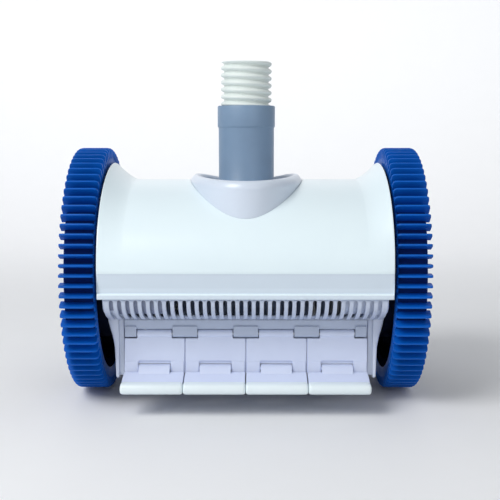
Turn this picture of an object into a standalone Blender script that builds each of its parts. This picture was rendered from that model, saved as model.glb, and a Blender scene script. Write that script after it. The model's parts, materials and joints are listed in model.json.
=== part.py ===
"""A two-wheel suction pool cleaner: every piece is one closed solid, in millimetres until it is meshed.

Axes: +X to the right, +Y to the rear, +Z up. The origin is on the floor under the wheels' common axis.
"""

import math

import bpy
from mathutils import Vector
from mathutils.geometry import tessellate_polygon

MM = 0.001

# Wheels and their shared axis
AXLE_Z = 115.0
TYRE_TIP_R = 115.0
TYRE_BASE_R = 107.5
TYRE_BORE_R = 100.0
TYRE_IN_X = 129.0
TYRE_OUT_X = 159.0
TREAD_LUGS = 80
AXLE_R = 5.0

# Turbine and the gears that drive the wheels
MODULE = 2.0
TURBINE_Z = 135.0
RING_TEETH = 60
IDLER_TEETH = 18
PINION_TEETH = 10
IDLER_Y = 23.95
IDLER_Z = AXLE_Z + 34.5
GEAR_IN_X = 127.5
GEAR_OUT_X = 135.5
CHAMBER_R = 45.0
VANES = 6
VANE_HINGE_R = 15.0
VANE_TIP_R = 41.5

# Shell
SHELL_HALF_X = 124.5
SHELL_HALF_Y = 115.0
SHELL_LIP_Z = 103.0
SHELL_CREASE_Z = 124.0
SHELL_RISE = 76.0
FLARE_START_X = 104.0
FLARE_RISE = 16.2
WALL = 3.0

# Collar round the swivelling hose tube: it reaches further to the front than to the rear
COLLAR_HALF_X = 52.4
COLLAR_FRONT_Y = 90.2
COLLAR_REAR_Y = 54.0

# Swivel tube and hose
TUBE_R = 26.3
TUBE_TOP_Z = 269.6
HOSE_R = 24.0
HOSE_TOP_Z = 310.0
RIB_PITCH = 6.65
GROOVE_DEPTH = 2.8

# Under-body
PLATE_IN_X = 108.8
PLATE_OUT_X = 121.0
GRILLE_HALF_X = 121.0
SLOTS = 34
SLOT_PITCH = 6.83
SLOT_WIDTH = 3.4
OPEN_SLOTS = range(7, 29)

# Flaps: the upper plate hangs from the rod, the lower foot hangs from the plate
FLAP_PITCH = 54.2
FLAP_WIDTH = 53.0
HINGE_Y = 77.0
HINGE_Z = 66.8
FOOT_Y = 81.4
FOOT_Z = 36.0
FLAP_THICK = 3.0
NOTCH_HALF = 14.3
TONGUE_HALF = 15.4
TAB_HALF = 11.0
ROD_R = 1.5


def clear_scene():
    for obj in list(bpy.data.objects):
        bpy.data.objects.remove(obj, do_unlink=True)


def place(axis, along, u, v):
    """A point from its distance along an axis and its two other coordinates, in X, Y, Z order."""
    if axis == "X":
        return (along, u, v)
    if axis == "Y":
        return (u, along, v)
    return (u, v, along)


def signed_volume(points, faces):
    total = 0.0
    for face in faces:
        a = points[face[0]]
        for b, c in zip(face[1:], face[2:]):
            total += a.dot(points[b].cross(points[c]))
    return total


def solid(name, points, faces):
    """An object from points in millimetres and faces that all turn the same way round."""
    points = [Vector(point) * MM for point in points]
    if signed_volume(points, faces) < 0:
        faces = [tuple(reversed(face)) for face in faces]
    mesh = bpy.data.meshes.new(name)
    mesh.from_pydata(points, [], faces)
    obj = bpy.data.objects.new(name, mesh)
    bpy.context.scene.collection.objects.link(obj)
    return obj


def area(loop):
    return sum(a[0] * b[1] - b[0] * a[1] for a, b in zip(loop, loop[1:] + loop[:1])) / 2


def prism(name, loops, axis, low, high):
    """An outline, and any holes after it, drawn out along an axis."""
    loops = [list(loop) for loop in loops]
    for index, loop in enumerate(loops):
        if (area(loop) > 0) != (index == 0):
            loop.reverse()
    flat = [point for loop in loops for point in loop]
    count = len(flat)
    points = [place(axis, low, *point) for point in flat]
    points += [place(axis, high, *point) for point in flat]
    caps = [tuple(range(count))]
    if len(loops) > 1:
        caps = tessellate_polygon([[Vector((u, v, 0)) for u, v in loop] for loop in loops])
    faces = []
    for corners in caps:
        if area([flat[i] for i in corners]) < 0:
            corners = tuple(reversed(corners))
        faces.append(tuple(reversed(corners)))
        faces.append(tuple(i + count for i in corners))
    start = 0
    for loop in loops:
        for i in range(len(loop)):
            a = start + i
            b = start + (i + 1) % len(loop)
            faces.append((a, b, b + count, a + count))
        start += len(loop)
    return solid(name, points, faces)


def rings_solid(name, rings):
    """A closed band of equal rings, each joined to the next and the last to the first.

    A ring given as one point closes the solid there.
    """
    segments = max(len(ring) for ring in rings)
    points = []
    numbered = []
    for ring in rings:
        if len(ring) == 1:
            numbered.append([len(points)] * segments)
        else:
            numbered.append(list(range(len(points), len(points) + segments)))
        points += ring
    faces = []
    for lower, upper in zip(numbered, numbered[1:] + numbered[:1]):
        for i in range(segments):
            j = (i + 1) % segments
            corners = tuple(dict.fromkeys((lower[i], lower[j], upper[j], upper[i])))
            if len(corners) > 2:
                faces.append(corners)
    return solid(name, points, faces)


def lathe(name, profile, axis, centre, segments=32):
    """A closed (radius, distance along the axis) profile turned about the axis."""
    rings = []
    for radius, along in profile:
        if radius == 0:
            rings.append([place(axis, along, *centre)])
            continue
        ring = []
        for i in range(segments):
            turn = 2 * math.pi * i / segments
            u = centre[0] + radius * math.cos(turn)
            v = centre[1] + radius * math.sin(turn)
            ring.append(place(axis, along, u, v))
        rings.append(ring)
    return rings_solid(name, rings)


def rod(name, radius, axis, centre, low, high, segments=12):
    return lathe(name, [(0, low), (radius, low), (radius, high), (0, high)], axis, centre, segments)


def tube(name, inner, outer, axis, centre, low, high, segments=32):
    profile = [(inner, low), (outer, low), (outer, high), (inner, high)]
    return lathe(name, profile, axis, centre, segments)


def box(name, low, high):
    outline = [(low[0], low[1]), (high[0], low[1]), (high[0], high[1]), (low[0], high[1])]
    return prism(name, [outline], "Z", low[2], high[2])


def combine(obj, others, operation):
    """The object with the others joined to it or cut from it."""
    for other in others:
        modifier = obj.modifiers.new(operation, "BOOLEAN")
        modifier.operation = operation
        modifier.object = other
        modifier.solver = "EXACT"
    graph = bpy.context.evaluated_depsgraph_get()
    made = bpy.data.meshes.new_from_object(obj.evaluated_get(graph))
    obj.modifiers.clear()
    obj.data = made
    for other in others:
        bpy.data.objects.remove(other, do_unlink=True)
    return obj


def join(obj, *others):
    return combine(obj, others, "UNION")


def cut(obj, *others):
    return combine(obj, others, "DIFFERENCE")


def circle(radius, centre=(0.0, 0.0), segments=32):
    points = []
    for i in range(segments):
        turn = 2 * math.pi * i / segments
        points.append((centre[0] + radius * math.cos(turn), centre[1] + radius * math.sin(turn)))
    return points


def inset(loop, distance):
    """The loop moved inwards by the distance, keeping its number of corners."""
    sign = 1 if area(loop) > 0 else -1
    moved = []
    for before, here, after in zip(loop[-1:] + loop[:-1], loop, loop[1:] + loop[:1]):
        first = Vector((here[0] - before[0], here[1] - before[1])).normalized()
        second = Vector((after[0] - here[0], after[1] - here[1])).normalized()
        side = Vector((-first.y - second.y, first.x + second.x)) * sign
        side.normalize()
        lean = max(0.35, side.dot(Vector((-first.y, first.x)) * sign))
        moved.append((here[0] + side.x * distance / lean, here[1] + side.y * distance / lean))
    return moved


def toothed(teeth, root_r, tip_r, root_half, tip_half, first_deg, centre=(0.0, 0.0)):
    """A loop with one straight-sided tooth per pitch; the tooth points in when tip_r is the smaller."""
    points = []
    for i in range(teeth):
        turn = math.radians(first_deg) + 2 * math.pi * i / teeth
        out = Vector((math.cos(turn), math.sin(turn)))
        side = Vector((-out.y, out.x))
        for radius, half in ((root_r, -root_half), (tip_r, -tip_half), (tip_r, tip_half), (root_r, root_half)):
            point = out * radius + side * half
            points.append((centre[0] + point.x, centre[1] + point.y))
    return points


# Shell, collar, tube and hose


def flare(x):
    """How much higher the shell's crown is at x than at its middle."""
    reach = max(0.0, (abs(x) - FLARE_START_X) / (SHELL_HALF_X - FLARE_START_X))
    return FLARE_RISE * reach**1.5


def crown_z(x, y):
    """Height of the shell's outer surface."""
    share = max(0.0, 1 - (y / SHELL_HALF_Y) ** 2)
    return SHELL_CREASE_Z + (SHELL_RISE + flare(x)) * math.sqrt(share)


def shell_profile(x, inward, steps=17):
    """The shell's side view at x, moved inwards, from the front lip over the top to the rear lip."""
    half_y = SHELL_HALF_Y - inward
    rise = SHELL_RISE + flare(x) - inward
    profile = [(x, -half_y, SHELL_LIP_Z)]
    for i in range(steps + 1):
        turn = math.pi * i / steps
        profile.append((x, -half_y * math.cos(turn), SHELL_CREASE_Z + rise * math.sin(turn)))
    profile.append((x, half_y, SHELL_LIP_Z))
    return profile


def upper_shell():
    stations = [-124.5, -121, -117, -112, -108, -104, 0, 104, 108, 112, 117, 121, 124.5]
    rings = [shell_profile(x, 0) for x in stations]
    inner = [shell_profile(x, WALL) for x in reversed(stations)]
    strips = rings + inner
    count = len(strips[0])
    points = [point for strip in strips for point in strip]
    faces = []
    for k in range(len(strips)):
        here = k * count
        there = (k + 1) % len(strips) * count
        for i in range(count - 1):
            faces.append((here + i, here + i + 1, there + i + 1, there + i))
    last = len(strips) - 1
    for k in range(len(stations) - 1):
        for i in (0, count - 1):
            corners = (k * count + i, (k + 1) * count + i, (last - k - 1) * count + i, (last - k) * count + i)
            faces.append(corners if i == 0 else tuple(reversed(corners)))
    shell = solid("upper_shell", points, faces)
    return cut(shell, prism("hole", [collar_outline(-0.9)], "Z", 150, 230))


def rim_z(turn):
    """Height of the collar's rim: highest at the sides, a little lower in front, lowest at the rear."""
    dip = max(0.0, math.sin(turn))
    return 203.3 + 2.2 * math.cos(turn) ** 2 - 5.8 * dip**3


def collar_outline(inward):
    """The collar's 40-point plan, moved inwards."""
    points = []
    for i in range(40):
        turn = 2 * math.pi * i / 40
        reach = COLLAR_REAR_Y if math.sin(turn) > 0 else COLLAR_FRONT_Y
        points.append(((COLLAR_HALF_X - inward) * math.cos(turn), (reach - inward) * math.sin(turn)))
    return points


def collar_ring(inward, height):
    """The plan at a height, which is a number or a function of x, y and the turn."""
    ring = []
    for i, (x, y) in enumerate(collar_outline(inward)):
        z = height(x, y, 2 * math.pi * i / 40) if callable(height) else height
        ring.append((x, y, z))
    return ring


def hose_collar():
    floor = [(x, y, 191.0) for x, y in circle(37.0, (0, 0), 40)]
    underside = [(x, y, 188.5) for x, y in circle(37.0, (0, 0), 40)]
    return rings_solid(
        "hose_collar",
        [
            collar_ring(-0.3, lambda x, y, turn: crown_z(x, y) - 5),
            collar_ring(-0.3, lambda x, y, turn: crown_z(x, y) + 0.4),
            collar_ring(0.2, lambda x, y, turn: max(crown_z(x, y) + 0.8, rim_z(turn) - 4.6)),
            collar_ring(1.6, lambda x, y, turn: rim_z(turn) - 1.2),
            collar_ring(4.0, lambda x, y, turn: rim_z(turn)),
            collar_ring(6.6, lambda x, y, turn: rim_z(turn) - 0.8),
            collar_ring(8.2, lambda x, y, turn: rim_z(turn) - 3.2),
            collar_ring(9.6, 191.0),
            floor,
            underside,
            collar_ring(8.0, 188.5),
            collar_ring(4.5, lambda x, y, turn: min(188.0, crown_z(x, y) - 5)),
        ],
    )


def swivel_tube():
    cuff_z = TUBE_TOP_Z - 19.5
    profile = [
        (22.2, 189.5),
        (31.0, 189.5),
        (31.0, 192.3),
        (TUBE_R, 192.3),
        (TUBE_R, cuff_z - 1),
        (TUBE_R + 0.9, cuff_z),
        (TUBE_R + 0.9, TUBE_TOP_Z - 0.8),
        (TUBE_R + 0.1, TUBE_TOP_Z),
        (24.4, TUBE_TOP_Z),
        (24.4, 226.0),
        (22.2, 223.0),
    ]
    return lathe("swivel_tube", profile, "Z", (0, 0), 24)


def swivel_bearing_ring():
    profile = [(31.6, 184.0), (36.0, 184.0), (36.0, 196.0), (26.9, 196.0), (26.9, 193.0), (31.6, 193.0)]
    return lathe("swivel_bearing_ring", profile, "Z", (0, 0), 24)


def hose_end():
    """A tube with one left-handed rib wound round the part that stands out of the swivel tube."""
    segments = 24
    bottom = 227.0
    ribbed_from = TUBE_TOP_Z + 1.4

    def ring(radius, z):
        return [
            (radius * math.cos(2 * math.pi * i / segments), radius * math.sin(2 * math.pi * i / segments), z)
            for i in range(segments)
        ]

    def ribbed_ring(z):
        points = []
        for i in range(segments):
            turn = 2 * math.pi * i / segments
            phase = (z / RIB_PITCH + i / segments) % 1.0
            radius = HOSE_R if phase < 0.5 else HOSE_R - GROOVE_DEPTH
            points.append((radius * math.cos(turn), radius * math.sin(turn), z))
        return points

    rows = 18
    rings = [ring(20.0, bottom), ring(23.9, bottom), ring(23.9, ribbed_from - 0.8)]
    for k in range(rows + 1):
        rings.append(ribbed_ring(ribbed_from + (HOSE_TOP_Z - ribbed_from) * k / rows))
    rings.append(ring(20.0, HOSE_TOP_Z))
    return rings_solid("hose_end", rings)


# Under-body: grilles, side plates, pan, throat, turbine chamber


BELLY = [(112.4, 102.6), (111.4, 97.5), (107.5, 92.2), (101.0, 87.6), (92.0, 83.4), (81.2, 80.2)]


def grille(name, side):
    outer = [(side * y, z) for y, z in BELLY]
    inner = [(side * (y - 2.2), z + 2.2 if z < 100 else z) for y, z in reversed(BELLY)]
    panel = prism(name, [outer + inner], "X", -GRILLE_HALF_X, GRILLE_HALF_X)
    cutters = []
    low, high = sorted((side * 84.0, side * 120.0))
    for i in OPEN_SLOTS:
        x = (i - (SLOTS - 1) / 2) * SLOT_PITCH
        cutters.append(box("slot", (x - SLOT_WIDTH / 2, low, 70), (x + SLOT_WIDTH / 2, high, 98.5)))
    return cut(panel, *cutters)


def plate_outline():
    """Side plate seen from the side: an arch inside the shell, the belly, and a leg at each end."""
    half_y = SHELL_HALF_Y - WALL - 0.8
    rise = SHELL_RISE - WALL - 0.8
    top = []
    for i in range(21):
        turn = math.pi * i / 20
        top.append((half_y * math.cos(turn), SHELL_CREASE_Z + rise * math.sin(turn)))
    leg = [
        (108.2, 101.2),
        (103.5, 94.9),
        (97.2, 90.0),
        (88.6, 86.0),
        (78.2, 83.4),
        (77.4, 72.0),
        (77.2, 58.0),
        (78.6, 42.0),
        (80.6, 27.0),
        (62.0, 27.0),
        (57.0, 40.0),
        (47.0, 53.0),
        (30.0, 62.0),
    ]
    rear = [(y, z) for y, z in leg]
    front = [(-y, z) for y, z in leg]
    return top + front + list(reversed(rear))


def side_plate(name, side):
    outline = plate_outline()
    low, high = sorted((side * PLATE_IN_X, side * PLATE_OUT_X))
    plate = prism(name, [outline], "X", low, high)
    low, high = sorted((side * (PLATE_IN_X + 3.2), side * (PLATE_OUT_X + 1)))
    plate = cut(plate, prism("recess", [inset(outline, 3.0)], "X", low, high))
    bosses = []
    for centre, radius, reach in (
        ((0, AXLE_Z), 9.0, PLATE_OUT_X),
        ((0, TURBINE_Z), 9.6, PLATE_OUT_X),
        ((IDLER_Y, IDLER_Z), 6.0, GEAR_IN_X - 0.6),
        ((IDLER_Y, IDLER_Z), 3.0, GEAR_OUT_X + 0.8),
    ):
        low, high = sorted((side * (PLATE_IN_X + 1), side * reach))
        bosses.append(rod("boss", radius, "X", centre, low, high, 20))
    plate = join(plate, *bosses)
    low, high = sorted((side * (PLATE_IN_X - 1), side * (PLATE_OUT_X + 1)))
    return cut(
        plate,
        rod("bore", AXLE_R + 0.3, "X", (0, AXLE_Z), low, high, 20),
        rod("bore", 7.3, "X", (0, TURBINE_Z), low, high, 20),
    )


def tab_outline(side):
    """Side view of a hinge tab under the pan: round below the rod, straight above it."""
    points = []
    for i in range(9):
        turn = math.pi + math.pi * i / 8
        points.append((side * HINGE_Y + 3.4 * math.cos(turn), HINGE_Z + 3.4 * math.sin(turn)))
    points.append((side * HINGE_Y + 3.4, 73.0))
    points.append((side * HINGE_Y - 3.4, 73.0))
    return points


def base_pan():
    half = [(80.2, 79.8), (78.4, 70.5)]
    inner = [(77.2, 79.8), (75.6, 73.5)]
    outline = [(-y, z) for y, z in half] + [(y, z) for y, z in reversed(half)]
    outline += inner + [(-y, z) for y, z in reversed(inner)]
    pan = prism("base_pan", [outline], "X", -108.0, 108.0)
    parts = []
    for side in (-1, 1):
        for gap in (-2, -1, 0, 1, 2):
            low = max(gap * FLAP_PITCH - TAB_HALF, -107.5)
            high = min(gap * FLAP_PITCH + TAB_HALF, 107.5)
            parts.append(prism("tab", [tab_outline(side)], "X", low, high))
    for end in (-1, 1):
        parts.append(box("saddle", (end * 72 - 3, -36, 72), (end * 72 + 3, 36, 104)))
    pan = join(pan, *parts)
    cutters = [
        box("mouth", (-64, -22, 60), (64, 22, 80)),
        rod("chamber", CHAMBER_R + 3.1, "X", (0, TURBINE_Z), -80, 80, 28),
    ]
    for side in (-1, 1):
        cutters.append(rod("bore", ROD_R + 0.2, "X", (side * HINGE_Y, HINGE_Z), -109, 109))
    return cut(pan, *cutters)


def intake_throat():
    levels = ((48.0, 78.0, 31.0), (66.0, 63.2, 21.2), (86.8, 63.2, 21.2))

    def rectangle(half_x, half_y, z):
        return [(half_x, half_y, z), (-half_x, half_y, z), (-half_x, -half_y, z), (half_x, -half_y, z)]

    rings = [rectangle(x, y, z) for z, x, y in levels]
    rings += [rectangle(x - 2.8, y - 2.8, z) for z, x, y in reversed(levels)]
    return rings_solid("intake_throat", rings)


def turbine_chamber():
    outer = CHAMBER_R + 2.5
    profile = [
        (7.5, -84),
        (outer, -84),
        (outer, 84),
        (7.5, 84),
        (7.5, 81.5),
        (CHAMBER_R, 81.5),
        (CHAMBER_R, -81.5),
        (7.5, -81.5),
    ]
    chamber = lathe("turbine_chamber", profile, "X", (0, TURBINE_Z), 28)
    chamber = join(chamber, rod("neck", 25.0, "Z", (0, 0), 173.5, 187.0, 18))
    return cut(
        chamber,
        rod("outlet", 22.0, "Z", (0, 0), 165.0, 190.0, 18),
        rod("cavity", CHAMBER_R - 0.5, "X", (0, TURBINE_Z), -80.0, 80.0, 28),
        box("inlet", (-60, -18, 80), (60, 18, 100)),
    )


# Flaps


def flap_plate(name, outline):
    """A flat plate hanging from the front rod, drawn as (x, distance below the rod's axis)."""
    lean = math.atan2(FOOT_Y - HINGE_Y, HINGE_Z - FOOT_Z)
    down = Vector((0, -math.sin(lean), -math.cos(lean)))
    out = Vector((0, -math.cos(lean), math.sin(lean)))
    flat = prism("flat", [outline], "Y", -FLAP_THICK / 2, FLAP_THICK / 2)
    points = []
    for vertex in flat.data.vertices:
        x, through, below = vertex.co / MM
        points.append(Vector((x, -HINGE_Y, HINGE_Z)) + down * below + out * through)
    faces = [tuple(polygon.vertices) for polygon in flat.data.polygons]
    bpy.data.objects.remove(flat, do_unlink=True)
    return solid(name, points, faces)


def upper_flap():
    """A front upper flap in the middle of the cleaner, which is copied into its eight places."""
    half = FLAP_WIDTH / 2
    length = math.hypot(FOOT_Y - HINGE_Y, HINGE_Z - FOOT_Z)
    foot = length + 4.05
    right_half = [
        (TONGUE_HALF, 0.7),
        (TONGUE_HALF, 5.3),
        (half, 5.3),
        (half, foot),
        (NOTCH_HALF, foot),
        (NOTCH_HALF, length - 7.0),
    ]
    outline = right_half + [(-x, below) for x, below in reversed(right_half)]
    hinge = (-HINGE_Y, HINGE_Z)
    toe = (-FOOT_Y, FOOT_Z)
    parts = [rod("knuckle", 3.1, "X", hinge, 0.2 - TONGUE_HALF, TONGUE_HALF - 0.2)]
    for low, high in ((-NOTCH_HALF - 6, -NOTCH_HALF - 0.2), (NOTCH_HALF + 0.2, NOTCH_HALF + 6)):
        parts.append(rod("ear", 3.3, "X", toe, low, high, 10))
    plate = join(flap_plate("upper_flap", outline), *parts)
    return cut(
        plate,
        rod("bore", ROD_R + 0.12, "X", hinge, -TONGUE_HALF - 1, TONGUE_HALF + 1),
        rod("socket", 1.62, "X", toe, -NOTCH_HALF - 3.4, NOTCH_HALF + 3.4),
    )


def lower_flap():
    """A front lower flap in the middle of the cleaner: a knuckle, a foot plate and a round-edged bead."""
    foot = [(81.0, 32.7), (92.0, 29.0), (92.0, 32.0), (85.0, 37.0), (82.0, 39.2)]
    wide = [(85.6, 30.2), (105.0, 25.6), (105.0, 28.8), (85.6, 33.6)]
    bead = [
        (104.0, 21.6),
        (105.5, 20.6),
        (112.2, 20.6),
        (114.8, 22.8),
        (115.0, 26.0),
        (113.6, 29.0),
        (111.0, 30.2),
        (106.0, 30.2),
        (104.0, 29.0),
    ]
    half = FLAP_WIDTH / 2
    toe = (-FOOT_Y, FOOT_Z)

    def along_x(label, loop, low, high):
        return prism(label, [[(-y, z) for y, z in loop]], "X", low, high)

    return join(
        along_x("lower_flap", bead, -half, half),
        along_x("foot", foot, 0.5 - NOTCH_HALF, NOTCH_HALF - 0.5),
        along_x("wide", wide, 1.2 - half, half - 1.2),
        rod("knuckle", 3.7, "X", toe, 0.6 - NOTCH_HALF, NOTCH_HALF - 0.6, 10),
        rod("pegs", 1.5, "X", toe, -NOTCH_HALF - 3.0, NOTCH_HALF + 3.0, 8),
    )


def flaps(template, label):
    """Four copies of the template at the front and four mirrored ones at the rear."""
    faces = [tuple(polygon.vertices) for polygon in template.data.polygons]
    points = [vertex.co / MM for vertex in template.data.vertices]
    for end, turn in (("front", 1), ("rear", -1)):
        for i in range(4):
            shift = (i - 1.5) * FLAP_PITCH
            moved = [(point.x + shift, point.y * turn, point.z) for point in points]
            solid(f"{end}_{label}_{i + 1}", moved, faces)
    bpy.data.objects.remove(template, do_unlink=True)


# Wheels, turbine and gears


def tyre(name, side):
    tread = toothed(TREAD_LUGS, TYRE_BASE_R, TYRE_TIP_R, 1.9, 1.4, 0.0, (0, AXLE_Z))
    low, high = sorted((side * TYRE_IN_X, side * TYRE_OUT_X))
    return prism(name, [tread, circle(TYRE_BORE_R, (0, AXLE_Z), 36)], "X", low, high)


def turned(name, profile, side, centre, segments=32):
    """A profile of (radius, distance out from the middle) turned about X on one side of the cleaner."""
    return lathe(name, [(radius, side * out) for radius, out in profile], "X", centre, segments)


def wheel_hub(name, side):
    profile = [
        (7.4, 137.0),
        (12.0, 137.0),
        (12.0, 146.0),
        (94.0, 146.0),
        (94.0, 131.0),
        (99.5, 131.0),
        (99.5, 157.0),
        (94.0, 157.0),
        (94.0, 149.0),
        (12.0, 149.0),
        (12.0, 153.0),
        (7.4, 153.0),
    ]
    hub = turned(name, profile, side, (0, AXLE_Z), 36)
    pitch_r = MODULE * RING_TEETH / 2
    facing = math.degrees(math.atan2(IDLER_Z - AXLE_Z, IDLER_Y))
    first = facing + 180 / RING_TEETH
    teeth = toothed(RING_TEETH, pitch_r + 2.5, pitch_r - 1.8, 1.5, 0.7, first, (0, AXLE_Z))
    low, high = sorted((side * (GEAR_IN_X - 0.4), side * 147.0))
    return join(hub, prism("ring", [circle(67.0, (0, AXLE_Z), 36), teeth], "X", low, high))


def gear(name, teeth, first, centre, bore_r, side):
    pitch_r = MODULE * teeth / 2
    rim = toothed(teeth, pitch_r - 2.5, pitch_r + 1.8, 1.6, 0.7, first, centre)
    low, high = sorted((side * GEAR_IN_X, side * GEAR_OUT_X))
    return prism(name, [rim, circle(bore_r, centre, 16)], "X", low, high)


def gear_phases():
    """The angle of one tooth of the idler and of the pinion, so that all the teeth are in mesh at rest."""
    idler = math.degrees(math.atan2(IDLER_Z - AXLE_Z, IDLER_Y))
    facing = math.degrees(math.atan2(TURBINE_Z - IDLER_Z, -IDLER_Y))
    pitch = 360 / IDLER_TEETH
    offset = (idler - facing + pitch / 2) % pitch - pitch / 2
    space = facing + 180 - offset * IDLER_TEETH / PINION_TEETH
    return idler, space + 180 / PINION_TEETH


def drive_gears(label, side):
    idler, pinion = gear_phases()
    gear(label + "_idler_gear", IDLER_TEETH, idler, (IDLER_Y, IDLER_Z), 3.08, side)
    gear(label + "_pinion", PINION_TEETH, pinion, (0, TURBINE_Z), 4.15, side)
    shaft = (0, TURBINE_Z)
    turned(label + "_turbine_bearing", [(4.1, 108.4), (7.0, 108.4), (7.0, 121.0), (4.1, 121.0)], side, shaft, 20)


def wheel_fixings(label, side):
    centre = (0, AXLE_Z)
    axle = turned(
        label + "_axle",
        [(0, 103.0), (9.0, 103.0), (9.0, 108.4), (AXLE_R, 108.4), (AXLE_R, 152.0), (0, 152.0)],
        side,
        centre,
        20,
    )
    low, high = sorted((side * 134.0, side * 153.0))
    cut(axle, rod("thread", 2.3, "X", centre, low, high, 12))
    turned(label + "_wheel_bush", [(5.08, 137.2), (7.1, 137.2), (7.1, 151.6), (5.08, 151.6)], side, centre, 20)
    turned(
        label + "_wheel_screw",
        [(0, 135.0), (2.0, 135.0), (2.0, 152.3), (6.4, 152.3), (6.4, 154.0), (5.2, 155.3), (0, 155.3)],
        side,
        centre,
        20,
    )
    turned(
        label + "_hub_cap",
        [(0, 156.0), (9.5, 156.0), (9.5, 153.4), (13.0, 153.4), (13.0, 156.4), (10.5, 158.2), (0, 158.6)],
        side,
        centre,
        20,
    )


def turbine_rotor():
    profile = [
        (0, -136.5),
        (4.0, -136.5),
        (4.0, -79.0),
        (19.0, -79.0),
        (19.0, -76.0),
        (11.5, -76.0),
        (11.5, 76.0),
        (19.0, 76.0),
        (19.0, 79.0),
        (4.0, 79.0),
        (4.0, 136.5),
        (0, 136.5),
    ]
    rotor = lathe("turbine_rotor", profile, "X", (0, TURBINE_Z), 20)
    pins = []
    for i in range(VANES):
        pins.append(rod("pin", 1.45, "X", vane_hinge(i), -80, 80, 8))
    return cut(rotor, *pins)


def vane_hinge(index):
    turn = 2 * math.pi * index / VANES
    return (VANE_HINGE_R * math.cos(turn), TURBINE_Z + VANE_HINGE_R * math.sin(turn))


def turbine_vane(index):
    turn = 2 * math.pi * index / VANES
    out = Vector((math.cos(turn), math.sin(turn)))
    side = Vector((-out.y, out.x))
    loop = []
    for radius, half in ((15.0, -1.0), (VANE_TIP_R, -1.0), (VANE_TIP_R, 1.0), (15.0, 1.0)):
        point = out * radius + side * half
        loop.append((point.x, TURBINE_Z + point.y))
    vane = prism(f"turbine_vane_{index + 1}", [loop], "X", -74.6, 74.6)
    hinge = vane_hinge(index)
    return join(
        vane,
        rod("knuckle", 2.1, "X", hinge, -75.2, 75.2, 8),
        rod("pegs", 1.25, "X", hinge, -78.6, 78.6, 8),
    )


def build():
    clear_scene()
    upper_shell()
    hose_collar()
    swivel_tube()
    swivel_bearing_ring()
    hose_end()
    base_pan()
    intake_throat()
    turbine_chamber()
    for label, side in (("front", -1), ("rear", 1)):
        grille(label + "_grille", side)
        rod(label + "_flap_rod", ROD_R, "X", (side * HINGE_Y, HINGE_Z), -106.8, 106.8)
    for label, side in (("left", -1), ("right", 1)):
        side_plate(label + "_side_plate", side)
        tyre(label + "_tyre", side)
        wheel_hub(label + "_wheel_hub", side)
        wheel_fixings(label, side)
        drive_gears(label, side)
    flaps(upper_flap(), "upper_flap")
    flaps(lower_flap(), "lower_flap")
    turbine_rotor()
    for i in range(VANES):
        turbine_vane(i)


build()
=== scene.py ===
"""Looks of a two-wheel pool cleaner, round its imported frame. Lengths are in millimetres where not said."""

import json
from math import atan2, cos, degrees, hypot, pi, radians, sin, sqrt

import bmesh
import bpy
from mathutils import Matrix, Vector


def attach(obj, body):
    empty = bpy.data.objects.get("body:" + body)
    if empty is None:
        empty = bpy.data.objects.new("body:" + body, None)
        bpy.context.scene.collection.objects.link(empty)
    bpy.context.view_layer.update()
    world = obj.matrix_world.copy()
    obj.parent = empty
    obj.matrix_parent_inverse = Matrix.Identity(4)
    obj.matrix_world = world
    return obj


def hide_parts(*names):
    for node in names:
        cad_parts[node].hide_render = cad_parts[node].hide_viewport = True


MM = 0.001

# Camera, at the angle of a front view from a little above, in metres
CAMERA_AT = (0.006, -0.869, 0.245)
CAMERA_LENS = 65.2
CAMERA_PITCH_DEG = 82.58
CAMERA_YAW_DEG = 0.165

# Lamps: name, place, target and size in metres, power in watts, spread in degrees
WORLD_COLOUR = (0.97, 0.985, 1.0, 1)
WORLD_STRENGTH = 0.39
LAMPS = (
    ("key", (-0.98, -0.95, 1.36), (0, -0.05, 0.12), (0.9, 0.9), 20, 180),
    ("fill", (0.80, -1.45, 0.80), (0, 0, 0.12), (0.8, 0.8), 2.4, 180),
    ("backdrop", (0, 0.9, 1.6), (0, 1.7, 0.5), (3.4, 0.5), 8, 110),
)

# Floor, in metres: flat, then curved up into a wall behind
FLOOR_HALF_X = 5.0
FLOOR_FRONT_Y = -5.0
BEND_START_Y = 0.9
BEND_R = 0.8
WALL_TOP_Z = 3.5

# Wheels and gears
AXLE_Z = 115.0
TURBINE_Z = 135.0
IDLER_Y = 23.95
IDLER_Z = 149.5
RING_TEETH = 60
IDLER_TEETH = 18
PINION_TEETH = 10
GEAR_IN_X = 127.5
GEAR_OUT_X = 135.5
RING_ROOT_R = 62.5
RING_TIP_R = 58.2
RING_OUTER_R = 67.0
CHAMBER_R = 45.0
CHAMBER_OUTER_R = 47.5
VANES = 6
VANE_HINGE_R = 15.0
VANE_TIP_R = 41.5
VANE_HALF_X = 74.6
LUGS = 80
LUG_ROOT_R = 103.6
LUG_TIP_R = 115.0
LUG_ROOT_HALF = 2.1
LUG_TAPER = 1.3
TREAD_FLOOR_R = 106.2
TYRE_IN_X = 129.0
TYRE_OUT_X = 159.0
HUB_RIBS = 8

WHEEL_AXIS = (0, AXLE_Z)
SHAFT_AXIS = (0, TURBINE_Z)
IDLER_AXIS = (IDLER_Y, IDLER_Z)

# Shell and collar
SHELL_HALF_X = 126.1
SHELL_HALF_Y = 115.0
SHELL_LIP_Z = 104.2
SHELL_CREASE_Z = 126.4
SHELL_RISE = 73.6
FLARE_START_X = 104.0
FLARE_RISE = 16.2
WALL = 3.0
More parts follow.
